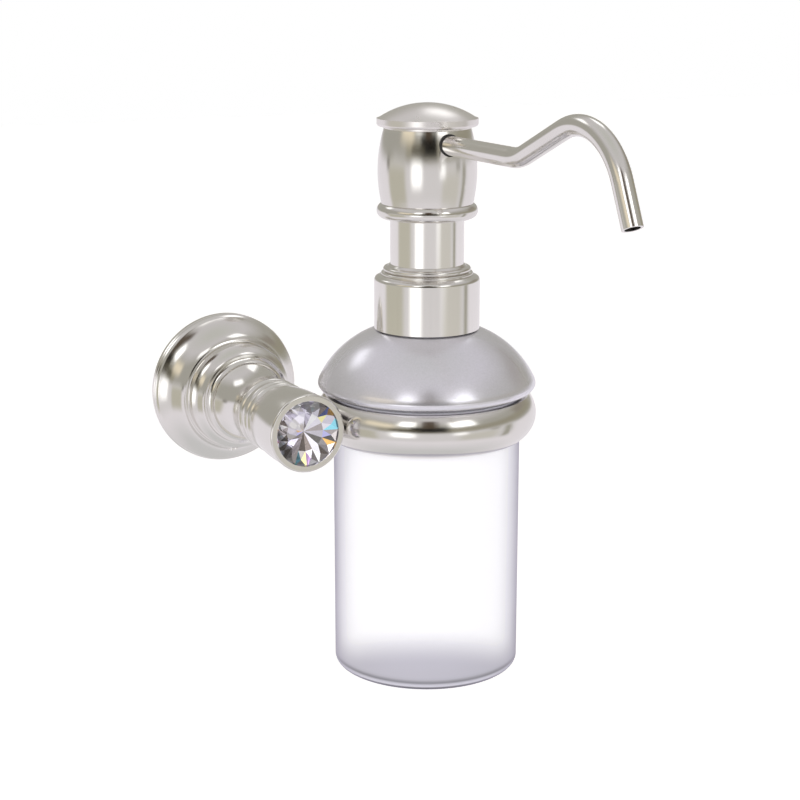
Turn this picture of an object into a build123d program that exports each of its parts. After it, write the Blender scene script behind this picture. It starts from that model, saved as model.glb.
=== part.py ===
"""Wall mounted soap dispenser: a turned post on a wall flange carries a ring, and the ring carries
a glass bottle with a metal pump.

Frame: the wall is the plane Y = 0 and the dispenser stands out towards -Y, +Z is up, and the origin
is the centre of the flange on the wall. The post lies on the Y axis, and the bottle stands to +X.
Millimetres throughout.
"""

from math import sqrt
import os

from build123d import *

# ------------------------------------------------------------------ driving dimensions
# Wall flange and bracket
flange_radius = 26.75
flange_rim = 4.5            # height of the ridged rim
flange_depth = 25.6         # wall to the foot of the post
flange_wall = 1.9
groove_y = -14.1            # foot of the hollow curve
cove_sag = 1.5              # depth of the hollow curve below its chord
bracket_plate = 2.5
boss_radius = 8.0
wall_screw_spacing = 26.0
wall_screw_radius = 2.25
set_screw_radius = 2.0
set_screw_y = -9.5
set_screw_socket = 2.5
stud_radius = 3.0
stud_in_boss = 14.0
stud_in_post = 24.0

# Post
post_length = 76.1          # wall to the front of the bezel
foot_radius = 13.1
neck_radius = 10.6          # waist of the post
bead_radius = 12.2
barrel_radius = 12.75       # middle of the slightly bulged head
barrel_length = 20.6
bezel_width = 0.25          # bezel beyond the barrel
bezel_length = 1.7
bezel_lip = 0.55
bezel_cover = 0.5           # metal in front of the crystal's edge
crystal_rim = 1.3           # barrel metal round the crystal
crystal_girdle = 0.9
crystal_bevel = 0.5
pavilion_depth = 6.6
crystal_facets = 16
foil = 0.25

# Ring
ring_room = 0.55            # ring bore beyond the bottle
ring_width = 4.95
ring_saddle = 0.8           # depth that the ring sits in the side of the barrel
ring_low = -8.4
ring_high = 6.5
ring_belly = 0.3            # height of the widest line
ring_top_edge = 2.65        # top edge inside the widest line
ring_lean = 0.45            # bottle axis behind the middle of the barrel
ring_screw_radius = 1.6
ring_screw_head = 3.2
ring_screw_length = 12.5
ring_screw_slot = 0.8

# Bottle
bottle_radius = 31.75
bottle_wall = 2.8
bottle_floor = 5.6
bottle_depth = 89.8         # ring mid height to the underside of the bottle
bottle_corner = 2.6
well_corner = 3.0
shoulder_rise = 22.0        # top of the ring to the top of the dome
shoulder_lip = 3.7          # flat round the neck
dome_sag = 2.25
neck_outer = 13.6
neck_length = 12.5

# Pump closure, collar and sleeve
gasket = 1.2
housing_flange = 1.4
closure_plate = 1.4
closure_wall = 2.2
collar_wall = 1.55
collar_step = 5.6           # closure plate to the top of the collar
collar_shelf = 5.41         # sleeve inside the collar
sleeve_wall = 1.0
sleeve_overlap = 2.1        # sleeve inside the head at rest

# Pump engine
housing_wall = 1.3
housing_bore = 5.2
housing_floor = 7.0
inlet_radius = 3.6
inlet_top = -1.0
inlet_length = 8.0
seat_z = 0.6
seat_web = 2.1              # plastic under the inlet ball's seat
ball_radius = 2.2
ball_seat = 1.6
ball_room = 2.7
dip_tube_radius = 2.5
dip_tube_wall = 0.8
dip_tube_gap = 6.0          # open end to the bottle's floor
stem_radius = 3.6
stem_bore = 1.9
stem_neck = 0.7             # depth of the seal's groove
stem_foot = 1.0
stem_ball_radius = 1.5
stem_ball_seat = 1.0
stem_ball_ledge = 1.5
seal_height = 5.0
bush_height = 5.0
bush_flange = 7.4
spring_wire = 0.8
spring_turns = 7
spring_spare = 2.9          # height left above the closed spring at full stroke

# Pump head
stroke = 12.0
press_gap = 3.3             # head to collar at full stroke
core_gap = 1.0              # core to sleeve at full stroke
shell_height = 29.7
bead_beyond = 4.56          # beads and waists of the barrel, measured out from the sleeve
waist_beyond = 3.01
belly_beyond = 4.16
mouth_beyond = 2.16
cap_beyond = 4.46
shell_wall = 1.5
cap_neck = 0.6              # bare height between barrel and cap
cap_rim = 2.6
cap_corner = 1.0
cap_ledge = 0.45
cap_rise = 5.0
spout_drop = 4.5            # top of the barrel down to the tube's axis
spout_radius = 3.175
spout_wall = 0.85
spout_root = 9.0            # bottle axis to the inner end of the tube
spout_straight = 59.8       # bottle axis to the corner of the first bend
spout_crest = (106.0, 19.9)   # corner of the crook, out from the axis and up from the root
spout_tip = (121.3, -13.3)    # open end, out from the axis and up from the root
spout_bends = (20.0, 24.0)
grommet_thickness = 0.45
grommet_stand = 1.05        # grommet beyond the barrel's mouth radius

# Clearances
rest_gap = 0.25             # bottle shoulder above the ring
thread_room = 0.4           # room that the thread takes up between neck and closure
running = 0.06              # turning and sliding fits of the pump
guide_gap = 0.35            # sleeve to the hollow of the head
saddle_gap = 0.03           # ring to its saddle in the post
seat_gap = 0.05             # faces that part when a joint moves
crystal_gap = 0.02          # crystal and foil in their seat
ball_gap = 0.02             # ball above its seat
collar_gap = 0.4            # collar above the bottle's dome
skirt_gap = 1.1             # closure above the bottle's dome
bush_gap = 0.3              # closure round the bush, and bush below the closure's face

# ------------------------------------------------------------------ derived places
flange_foot = -flange_depth
flange_seat = flange_foot + flange_wall + 1.6          # front of the boss
flange_neck = foot_radius + 6.5                        # radius of the groove
bracket_radius = wall_screw_spacing / 2 + 5.0
bezel_radius = barrel_radius + bezel_width
crystal_radius = barrel_radius - crystal_rim
crystal_front = -post_length + bezel_cover
girdle_back = crystal_front + crystal_bevel + crystal_girdle
barrel_start = -(post_length - barrel_length)
barrel_y = -(post_length - bezel_length)               # front face of the post
ring_y = barrel_y + (barrel_length - bezel_length) / 2 + ring_lean
ring_bore = bottle_radius + ring_room
ring_radius = ring_bore + ring_width
ring_offset = barrel_radius + ring_radius - ring_saddle  # post axis to bottle axis
ring_screw_x = ring_offset - ring_bore                 # inside face of the ring, at its screw
ring_screw_sink = 0.3                                  # screw head below that face
ring_screw_neck = ring_screw_x - ring_screw_sink - ring_screw_head + ring_screw_radius
bottle_axis = Axis((ring_offset, ring_y, 0), (0, 0, 1))
bottle_plane = Plane(origin=(ring_offset, ring_y, 0), x_dir=(1, 0, 0), z_dir=(0, -1, 0))
shoulder_low = ring_high + rest_gap
shoulder_radius = ring_radius - 0.2
shoulder_top = ring_high + shoulder_rise
shoulder_flat = neck_outer + shoulder_lip
neck_bore = neck_outer - bottle_wall
neck_top = shoulder_top + neck_length
housing_seat = neck_top + gasket
housing_radius = housing_bore + housing_wall
closure_low = housing_seat + housing_flange
closure_high = closure_low + closure_plate
closure_radius = neck_outer + thread_room + closure_wall
closure_skirt = shoulder_top + skirt_gap
collar_radius = closure_radius + collar_wall
collar_low = shoulder_top + collar_gap
sleeve_radius = collar_radius - collar_shelf
shell_bead = sleeve_radius + bead_beyond
shell_waist = sleeve_radius + waist_beyond
shell_belly = sleeve_radius + belly_beyond
shell_mouth = sleeve_radius + mouth_beyond
cap_radius = sleeve_radius + cap_beyond
collar_high = closure_high + collar_step
shell_low = collar_high + stroke + press_gap
sleeve_top = shell_low + sleeve_overlap
core_low = sleeve_top + stroke + core_gap
shell_high = shell_low + shell_height
cap_low = shell_high + cap_neck
cap_edge = cap_low + cap_rim
cap_top = cap_edge + cap_rise
spout_z = shell_high - spout_drop
stem_low = housing_floor + spring_turns * spring_wire + stroke + spring_spare
stem_top = spout_z - spout_radius

os.makedirs("parts", exist_ok=True)
made = []


def keep(piece, name):
    """Label a finished piece and write it to its own file."""
    piece.part.label = name
    export_step(piece.part, f"parts/{name}.step")
    made.append(name)


def band(low, high, outer, inner=0.0):
    """One rectangle of a turned section: from inner to outer radius, between two heights."""
    with Locations(((outer + inner) / 2, (low + high) / 2)):
        Rectangle(outer - inner, high - low)


def cone(low_radius, low, high_radius, high):
    """One solid tapering stretch of a turned section."""
    with BuildLine() as outline:
        Polyline((0, low), (low_radius, low), (high_radius, high), (0, high), close=True)
    make_face(outline.edges())


# ------------------------------------------------------------------ wall side
def make_bracket():
    """Round steel plate with a boss; two holes take the wall screws."""
    with BuildPart() as bracket:
        with BuildSketch(Plane.XY):
            band(-bracket_plate, 0, bracket_radius)
            band(flange_seat, -bracket_plate, boss_radius)
        revolve(axis=Axis.Y)
        with BuildSketch(Plane.XZ):
            with GridLocations(wall_screw_spacing, 1, 2, 1):
                Circle(wall_screw_radius)
        extrude(amount=bracket_plate, mode=Mode.SUBTRACT)
        with BuildSketch(Plane.XY):
            band(flange_seat, flange_seat + stud_in_boss, stud_radius)
        revolve(axis=Axis.Y, mode=Mode.SUBTRACT)
    keep(bracket, "mounting_bracket")


def make_flange():
    """Turned escutcheon: ridged rim, a hollow curve, a convex ring and a bead at the post's foot."""
    hollow = flange_radius - 2.4
    with BuildPart() as flange:
        with BuildSketch(Plane.XY):
            with BuildLine():
                rim = Polyline(
                    (hollow, 0),
                    (flange_radius, 0),
                    (flange_radius, -1.5),
                    (flange_radius - 0.4, -1.85),
                    (flange_radius - 0.1, -2.2),
                    (flange_radius - 0.1, -2.9),
                    (flange_radius - 0.5, -3.25),
                    (flange_radius - 0.3, -3.6),
                    (flange_radius - 0.7, -flange_rim),
                    (flange_radius - 0.85, -flange_rim - 0.1),
                )
                cove = SagittaArc(rim @ 1, (flange_neck, groove_y), -cove_sag)
                groove = Polyline(
                    cove @ 1,
                    (flange_neck - 0.45, groove_y - 0.2),
                    (flange_neck - 0.65, groove_y - 0.8),
                    (flange_neck - 1.0, groove_y - 0.9),
                    (flange_neck - 1.15, groove_y - 3.8),
                )
                ring = SagittaArc(groove @ 1, (foot_radius + 2.5, flange_foot + 2.7), -0.8)
                step = Polyline(
                    ring @ 1,
                    (foot_radius + 1.9, flange_foot + 2.5),
                    (foot_radius + 1.85, flange_foot + 2.0),
                )
                bead = SagittaArc(step @ 1, (foot_radius + 0.4, flange_foot), -0.5)
                seat = Polyline(
                    bead @ 1,
                    (stud_radius, flange_foot),
                    (stud_radius, flange_seat),
                    (foot_radius - 0.1, flange_seat),
                    (flange_neck - 1.15 - flange_wall, groove_y - 3.8),
                    (flange_neck - flange_wall, groove_y - 0.3),
                )
                inside = SagittaArc(seat @ 1, (hollow, 1.2 - flange_rim), cove_sag + 0.2)
                Line(inside @ 1, rim @ 0)
            make_face()
        revolve(axis=Axis.Y)
        with BuildSketch(Plane.XY.offset(-flange_radius)):
            with Locations((0, set_screw_y)):
                Circle(set_screw_radius)
        extrude(amount=flange_radius - boss_radius, mode=Mode.SUBTRACT)
    keep(flange, "flange")


def make_set_screw():
    """Grub screw in the underside of the flange, with a hexagon socket, tight on the boss."""
    low = -flange_neck - 0.3
    with BuildPart() as screw:
        with BuildSketch(Plane.XY.offset(low)):
            with Locations((0, set_screw_y)):
                Circle(set_screw_radius)
        extrude(amount=-low - boss_radius)
        with BuildSketch(Plane.XY.offset(low)):
            with Locations((0, set_screw_y)):
                RegularPolygon(set_screw_radius * 0.55, 6)
        extrude(amount=set_screw_socket, mode=Mode.SUBTRACT)
    keep(screw, "flange_set_screw")


def make_stud():
    """Threaded rod from the bracket's boss to the post; it holds the flange between them."""
    with BuildPart() as stud:
        with BuildSketch(Plane.XY):
            band(flange_foot - stud_in_post, flange_seat + stud_in_boss, stud_radius)
        revolve(axis=Axis.Y)
        chamfer(stud.edges().filter_by(GeomType.CIRCLE), 0.5)
    keep(stud, "post_stud")


def ring_section(room=0.0):
    """Half of a rounded band: flat bore and top, outside swept by one arc."""
    with BuildLine() as outline:
        bulge = ThreePointArc(
            (ring_bore + 0.2, ring_low - room),
            (ring_radius + room, ring_belly),
            (ring_radius - ring_top_edge + room, ring_high + room),
        )
        Polyline(bulge @ 1, (ring_bore, ring_high + room), (ring_bore, ring_low - room), bulge @ 0)
    make_face(outline.edges())


def make_post():
    """Turned arm: waisted neck, three fine beads and a barrel head bored for the crystal."""
    bead_y = (barrel_start + 9.6, barrel_start + 4.7, barrel_start + 2.1)
    valley = bead_radius - 0.6
    with BuildPart() as post:
        with BuildSketch(Plane.XY):
            with BuildLine():
                neck = ThreePointArc(
                    (foot_radius, flange_foot),
                    (neck_radius, flange_foot - 12.4),
                    (valley - 0.1, bead_y[0] + 1.3),
                )
                bead_a = ThreePointArc(
                    neck @ 1, (bead_radius, bead_y[0] - 0.1), (valley, bead_y[0] - 1.4)
                )
                bead_b = ThreePointArc(
                    (valley, bead_y[1] + 1.5), (bead_radius, bead_y[1]), (valley, bead_y[1] - 1.1)
                )
                Line(bead_a @ 1, bead_b @ 0)
                bead_c = ThreePointArc(
                    bead_b @ 1, (bead_radius, bead_y[2] - 0.2), (valley, barrel_start + 0.6)
                )
                belly = ThreePointArc(
                    (barrel_radius - 0.9, barrel_start),
                    (barrel_radius, barrel_start - barrel_length / 2),
                    (barrel_radius - 0.2, barrel_y),
                )
                Line(bead_c @ 1, belly @ 0)
                Polyline(belly @ 1, (0, barrel_y), (0, flange_foot), neck @ 0)
            make_face()
        revolve(axis=Axis.Y)
        with BuildSketch(Plane.XY):
            band(flange_foot - stud_in_post, flange_foot, stud_radius)
            band(barrel_y, girdle_back + pavilion_depth + 1.0, crystal_radius)
        revolve(axis=Axis.Y, mode=Mode.SUBTRACT)
        with BuildSketch(bottle_plane):
            ring_section(saddle_gap)
        revolve(axis=bottle_axis, mode=Mode.SUBTRACT)
        with BuildSketch(Plane.YZ.offset(ring_screw_x - ring_screw_length)):
            with Locations((ring_y, 0)):
                Circle(ring_screw_radius)
        extrude(amount=ring_screw_length, mode=Mode.SUBTRACT)
    keep(post, "post")


def make_bezel():
    """Thin ring on the front of the barrel; its lip holds the crystal's edge."""
    with BuildPart() as bezel:
        with BuildSketch(Plane.XY):
            band(-post_length, barrel_y, bezel_radius, crystal_radius)
            band(-post_length, crystal_front, crystal_radius, crystal_radius - bezel_lip)
        revolve(axis=Axis.Y)
        rims = bezel.edges().filter_by(GeomType.CIRCLE).group_by(SortBy.RADIUS)[-1]
        fillet(rims, 0.6)
    keep(bezel, "bezel")


def make_crystal():
    """Clear round crystal: flat front, thin girdle and a many-sided pointed back."""
    edge = crystal_radius - crystal_gap
    girdle_front = -girdle_back + crystal_girdle
    with BuildPart() as crystal:
        with BuildSketch(Plane.XZ.offset(-girdle_back)):
            RegularPolygon(edge, crystal_facets)
        extrude(amount=crystal_girdle)
        with BuildSketch(Plane.XZ.offset(girdle_front)):
            RegularPolygon(edge, crystal_facets)
        extrude(amount=crystal_bevel, taper=45)
        with BuildSketch(Plane.XZ.offset(-girdle_back)):
            RegularPolygon(edge, crystal_facets)
        with BuildSketch(Plane.XZ.offset(-girdle_back - pavilion_depth)):
            RegularPolygon(0.15, crystal_facets)
        loft()
    keep(crystal, "crystal")


def make_foil():
    """Mirror foil cup that lines the seat behind the crystal's pointed back."""
    edge = crystal_radius - 2 * crystal_gap
    near = girdle_back + 0.15
    deep = girdle_back + pavilion_depth + 0.1
    tip = 0.3
    with BuildPart() as cup:
        with BuildSketch(Plane.XY):
            with BuildLine():
                Polyline(
                    (edge, near),
                    (edge, near + foil),
                    (tip, deep + foil),
                    (0, deep + foil),
                    (0, deep),
                    (tip, deep),
                    close=True,
                )
            make_face()
        revolve(axis=Axis.Y)
    keep(cup, "crystal_foil")


def make_ring():
    """Polished ring that carries the bottle, with a countersunk hole for its screw."""
    with BuildPart() as ring:
        with BuildSketch(bottle_plane):
            ring_section()
        revolve(axis=bottle_axis)
        with BuildSketch(Plane.YZ.offset(ring_screw_neck - ring_width)):
            with Locations((ring_y, 0)):
                Circle(ring_screw_radius)
        extrude(amount=2 * ring_width, mode=Mode.SUBTRACT)
        with BuildSketch(Plane.YZ.offset(ring_screw_x - ring_screw_sink)):
            with Locations((ring_y, 0)):
                Circle(ring_screw_head)
        extrude(amount=2 * ring_screw_sink + 1.0, mode=Mode.SUBTRACT)
        with BuildSketch(Plane.YZ.offset(ring_screw_x - ring_screw_sink)):
            with Locations((ring_y, 0)):
                Circle(ring_screw_head)
        with BuildSketch(Plane.YZ.offset(ring_screw_neck)):
            with Locations((ring_y, 0)):
                Circle(ring_screw_radius)
        loft(mode=Mode.SUBTRACT)
    keep(ring, "support_ring")


def make_ring_screw():
    """Countersunk slotted screw from inside the ring into the side of the post."""
    head_x = ring_screw_x - ring_screw_sink
    with BuildPart() as screw:
        with BuildSketch(Plane.YZ.offset(head_x)):
            with Locations((ring_y, 0)):
                Circle(ring_screw_head)
        with BuildSketch(Plane.YZ.offset(ring_screw_neck)):
            with Locations((ring_y, 0)):
                Circle(ring_screw_radius)
        loft()
        with BuildSketch(Plane.YZ.offset(ring_screw_neck)):
            with Locations((ring_y, 0)):
                Circle(ring_screw_radius)
        extrude(amount=-(ring_screw_length - 2.5))
        with BuildSketch(Plane.YZ.offset(head_x)):
            with Locations((ring_y, 0)):
                Rectangle(2 * ring_screw_head + 1, ring_screw_slot)
        extrude(amount=-ring_screw_slot, mode=Mode.SUBTRACT)
    keep(screw, "ring_screw")


# ------------------------------------------------------------------ bottle
def make_bottle():
    """One-piece glass jar: straight body, thick floor, domed shoulder and neck."""
    base = -bottle_depth
    floor = base + bottle_floor
    inner = bottle_radius - bottle_wall
    ceiling = shoulder_top - bottle_wall
    with BuildPart() as bottle:
        with BuildSketch(bottle_plane):
            with BuildLine():
                under = Line((0, base), (bottle_radius - bottle_corner, base))
                heel = TangentArc(under @ 1, (bottle_radius, base + bottle_corner), tangent=(1, 0))
                seat = Polyline(
                    heel @ 1,
                    (bottle_radius, shoulder_low),
                    (ring_bore + 0.3, shoulder_low),
                    (shoulder_radius - 1.5, shoulder_low + 1.95),
                )
                edge = ThreePointArc(
                    seat @ 1,
                    (shoulder_radius - 0.1, shoulder_low + 3.4),
                    (shoulder_radius - 0.8, shoulder_low + 6.2),
                )
                dome = SagittaArc(edge @ 1, (shoulder_flat, shoulder_top), -dome_sag)
                neck = Polyline(
                    dome @ 1,
                    (neck_outer, shoulder_top),
                    (neck_outer, neck_top),
                    (neck_bore, neck_top),
                    (neck_bore, ceiling),
                    (shoulder_flat, ceiling - 0.6),
                )
                inside = SagittaArc(
                    neck @ 1, (shoulder_radius - bottle_wall - 1.2, shoulder_low + 4.6), dome_sag
                )
                wall = Polyline(
                    inside @ 1, (inner, shoulder_low + 0.4), (inner, floor + well_corner)
                )
                well = TangentArc(wall @ 1, (inner - well_corner, floor), tangent=(0, -1))
                Polyline(well @ 1, (0, floor), (0, base))
            make_face()
        revolve(axis=bottle_axis)
    keep(bottle, "bottle")


# ------------------------------------------------------------------ closure and collar
def make_gasket():
    """Flat washer between the glass neck and the pump."""
    with BuildPart() as washer:
        with BuildSketch(bottle_plane):
            band(neck_top + seat_gap, housing_seat, neck_outer, neck_bore - 1.0)
        revolve(axis=bottle_axis)
    keep(washer, "neck_gasket")


def make_closure():
    """Plastic screw closure inside the collar."""
    with BuildPart() as closure:
        with BuildSketch(bottle_plane):
            band(closure_skirt, closure_low + seat_gap, closure_radius, neck_outer + thread_room)
            band(closure_low + seat_gap, closure_high, closure_radius, bush_flange + bush_gap)
        revolve(axis=bottle_axis)
    keep(closure, "closure")


def make_collar():
    """Metal cover of the closure, with stepped beads round the sleeve."""
    top = closure_high
    rim = collar_radius
    with BuildPart() as collar:
        with BuildSketch(bottle_plane):
            with BuildLine():
                wall = Polyline((closure_radius, collar_low), (rim, collar_low), (rim, top + 0.3))
                corner = ThreePointArc(wall @ 1, (rim - 0.25, top + 1.0), (rim - 1.1, top + 1.55))
                slope = Line(corner @ 1, (rim - 2.4, top + 2.1))
                bead_low = ThreePointArc(slope @ 1, (rim - 2.3, top + 2.65), (rim - 3.0, top + 3.0))
                groove = Line(bead_low @ 1, (rim - 3.55, top + 3.1))
                bead_high = ThreePointArc(
                    groove @ 1, (rim - 3.0, top + 4.0), (rim - 3.85, top + 4.75)
                )
                Polyline(
                    bead_high @ 1,
                    (rim - 4.55, top + 4.9),
                    (sleeve_radius + 0.3, collar_high),
                    (sleeve_radius, collar_high),
                    (sleeve_radius, closure_high),
                    (closure_radius, closure_high),
                    wall @ 0,
                )
            make_face()
        revolve(axis=bottle_axis)
    keep(collar, "collar")


def make_sleeve():
    """Fixed metal tube that covers the stem; the pump head slides down over it."""
    with BuildPart() as sleeve:
        with BuildSketch(bottle_plane):
            band(closure_high, sleeve_top, sleeve_radius, sleeve_radius - sleeve_wall)
        revolve(axis=bottle_axis)
        chamfer(sleeve.edges().group_by(Axis.Z)[-1], 0.3)
    keep(sleeve, "sleeve")


# ------------------------------------------------------------------ pump engine
def make_housing():
    """Pump cylinder: flange on the gasket, bore for the piston, ball seat and inlet spigot."""
    with BuildPart() as housing:
        with BuildSketch(bottle_plane):
            band(housing_seat, closure_low, neck_outer)
            band(seat_z + 3, housing_seat, housing_radius)
            cone(inlet_radius, inlet_top, housing_radius, seat_z + 3)
            band(inlet_top - inlet_length, inlet_top, inlet_radius)
        revolve(axis=bottle_axis)
        with BuildSketch(bottle_plane):
            band(housing_floor, closure_low, housing_bore)
            band(seat_z, housing_floor, ball_room)
            band(seat_z - seat_web, seat_z, ball_seat)
            band(inlet_top - inlet_length, seat_z - seat_web, dip_tube_radius)
        revolve(axis=bottle_axis, mode=Mode.SUBTRACT)
    keep(housing, "pump_housing")


def make_bush():
    """Guide bush that closes the cylinder and steers the stem."""
    with BuildPart() as bush:
        with BuildSketch(bottle_plane):
            band(closure_low - bush_height, closure_low, housing_bore, stem_radius + running)
            band(closure_low, closure_high - bush_gap, bush_flange, stem_radius + running)
        revolve(axis=bottle_axis)
    keep(bush, "guide_bush")


def make_dip_tube():
    """Straight feed tube from the cylinder to just above the bottle's floor."""
    low = -bottle_depth + bottle_floor + dip_tube_gap
    with BuildPart() as tube:
        with BuildSketch(bottle_plane):
            band(low, seat_z - seat_web, dip_tube_radius, dip_tube_radius - dip_tube_wall)
        revolve(axis=bottle_axis)
    keep(tube, "dip_tube")


def make_ball(radius, seat_radius, seat_height, name):
    """Check ball resting on a round seat."""
    centre = seat_height + sqrt(radius**2 - seat_radius**2) + ball_gap
    with BuildPart(Plane((ring_offset, ring_y, centre))) as ball:
        Sphere(radius)
    keep(ball, name)


def make_spring():
    """Return spring between the cylinder's ledge and the foot of the stem."""
    low = housing_floor + spring_wire / 2 + seat_gap
    high = stem_low - spring_wire / 2 - seat_gap
    mean = housing_bore - spring_wire / 2 - 0.25
    with BuildPart() as spring:
        with BuildLine(Plane((ring_offset, ring_y, low))):
            coil = Helix((high - low) / spring_turns, high - low, mean)
        with BuildSketch(Plane(origin=coil @ 0, z_dir=coil % 0)):
            Circle(spring_wire / 2)
        sweep(path=coil)
    keep(spring, "pump_spring")


def make_stem():
    """Hollow piston rod with a ball seat at its foot; its top plugs into the head's core."""
    with BuildPart() as stem:
        with BuildSketch(bottle_plane):
            band(stem_low, stem_low + stem_foot, stem_radius + 1.0)
            band(stem_low, stem_low + seal_height + 2, stem_radius - stem_neck)
            band(stem_low + seal_height + 2, stem_top, stem_radius)
        revolve(axis=bottle_axis)
        with BuildSketch(bottle_plane):
            band(stem_low, stem_low + stem_ball_ledge, stem_ball_seat)
            band(stem_low + stem_ball_ledge, stem_top, stem_bore)
        revolve(axis=bottle_axis, mode=Mode.SUBTRACT)
    keep(stem, "stem")


def make_seal():
    """Cup seal on the stem that wipes the cylinder."""
    low = stem_low + stem_foot
    high = low + seal_height
    wipe = housing_bore - running
    waist = housing_bore - 0.7
    with BuildPart() as seal:
        with BuildSketch(bottle_plane):
            with BuildLine():
                Polyline(
                    (stem_radius - stem_neck, low),
                    (waist, low),
                    (wipe, low + 1.2),
                    (wipe, low + 1.8),
                    (waist, low + 2.5),
                    (waist, high - 2.0),
                    (wipe, high - 1.3),
                    (wipe, high - 0.7),
                    (waist, high),
                    (stem_radius - stem_neck, high),
                    close=True,
                )
            make_face()
        revolve(axis=bottle_axis)
    keep(seal, "piston_seal")


# ------------------------------------------------------------------ pump head
def make_shell():
    """Metal barrel of the head, hollow below so that it slides down over the sleeve."""
    cup = sleeve_radius + guide_gap
    with BuildPart() as shell:
        with BuildSketch(bottle_plane):
            with BuildLine():
                foot = Line((cup, shell_low), (shell_bead - 2.6, shell_low))
                bead = ThreePointArc(
                    foot @ 1, (shell_bead, shell_low + 2.5), (shell_waist, shell_low + 5.0)
                )
                belly = ThreePointArc(
                    bead @ 1, (shell_belly, shell_low + 16.2), (shell_mouth, shell_high)
                )
                Polyline(
                    belly @ 1,
                    (shell_mouth - shell_wall, shell_high),
                    (shell_mouth - shell_wall, core_low),
                    (cup, core_low),
                    foot @ 0,
                )
            make_face()
        revolve(axis=bottle_axis)
        with BuildSketch(Plane.XZ.offset(-ring_y)):
            with Locations((ring_offset, spout_z)):
                Circle(spout_radius + grommet_thickness)
        extrude(amount=shell_belly + 1, mode=Mode.SUBTRACT)
    keep(shell, "head_shell")


def make_core():
    """Plastic core that joins stem, shell and spout."""
    with BuildPart() as core:
        with BuildSketch(bottle_plane):
            band(core_low, shell_high, shell_mouth - shell_wall)
        revolve(axis=bottle_axis)
        with BuildSketch(bottle_plane):
            band(core_low, stem_top, stem_radius + running)
            band(stem_top, spout_z + 1.0, stem_bore)
        revolve(axis=bottle_axis, mode=Mode.SUBTRACT)
        with BuildSketch(Plane.XZ.offset(-ring_y)):
            with Locations((ring_offset, spout_z)):
                Circle(spout_radius - spout_wall)
        extrude(amount=spout_root, mode=Mode.SUBTRACT)
        with BuildSketch(Plane.XZ.offset(-ring_y + spout_root)):
            with Locations((ring_offset, spout_z)):
                Circle(spout_radius)
        extrude(amount=shell_mouth, mode=Mode.SUBTRACT)
    keep(core, "actuator_core")


def make_cap():
    """Domed top cap: upright rim with a sharp upper edge, and a low neck that sits on the barrel."""
    dome_edge = cap_radius - cap_ledge
    sphere = (dome_edge**2 + cap_rise**2) / (2 * cap_rise)
    halfway = dome_edge / 2
    crown = cap_top - sphere + sqrt(sphere**2 - halfway**2)
    with BuildPart() as cap:
        with BuildSketch(bottle_plane):
            with BuildLine():
                plug = Polyline(
                    (0, shell_high),
                    (shell_mouth, shell_high),
                    (shell_mouth, cap_low),
                    (cap_radius - cap_corner, cap_low),
                )
                corner = TangentArc(plug @ 1, (cap_radius, cap_low + cap_corner), tangent=(1, 0))
                rim = Polyline(corner @ 1, (cap_radius, cap_edge), (dome_edge, cap_edge))
                dome = ThreePointArc(rim @ 1, (halfway, crown), (0, cap_top))
                Line(dome @ 1, plug @ 0)
            make_face()
        revolve(axis=bottle_axis)
    keep(cap, "cap")


def make_spout():
    """Bent delivery tube: straight out of the barrel, up, over a crook and down."""
    def at(out, up):
        return (ring_offset, ring_y - out, spout_z + up)

    with BuildPart() as spout:
        with BuildLine():
            route = FilletPolyline(
                at(spout_root, 0),
                at(spout_straight, 0),
                at(*spout_crest),
                at(*spout_tip),
                radius=list(spout_bends),
            )
        with BuildSketch(Plane(origin=route @ 0, z_dir=route % 0)):
            Circle(spout_radius)
            Circle(spout_radius - spout_wall, mode=Mode.SUBTRACT)
        sweep(path=route)
    keep(spout, "spout")


def make_grommet():
    """Black rubber ring round the tube where it leaves the barrel."""
    with BuildPart() as grommet:
        with BuildSketch(Plane.XZ.offset(-ring_y + shell_mouth - shell_wall)):
            with Locations((ring_offset, spout_z)):
                Circle(spout_radius + grommet_thickness)
                Circle(spout_radius, mode=Mode.SUBTRACT)
        extrude(amount=shell_wall + grommet_stand)
    keep(grommet, "spout_grommet")


make_bracket()
make_flange()
make_set_screw()
make_stud()
make_post()
make_bezel()
make_crystal()
make_foil()
make_ring()
make_ring_screw()
make_bottle()
make_gasket()
make_closure()
make_collar()
make_sleeve()
make_housing()
make_bush()
make_dip_tube()
make_ball(ball_radius, ball_seat, seat_z, "inlet_ball")
make_ball(stem_ball_radius, stem_ball_seat, stem_low + stem_ball_ledge, "outlet_ball")
make_spring()
make_stem()
make_seal()
make_shell()
make_core()
make_cap()
make_spout()
make_grommet()
print(len(made), "pieces written")
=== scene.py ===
# %% [markdown]
# # Wall mounted soap dispenser
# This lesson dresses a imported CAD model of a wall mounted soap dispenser. The frame brings every turned
# and drilled part in at its real place, in metres, with +Z up, the wall at Y = 0 and the dispenser
# standing out towards -Y. What is left to Blender is the look: nickel plate, frosted glass, a cut crystal,
# plastic, rubber and steel, and the three pieces whose surface deserves more than CAD gives.

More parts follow.
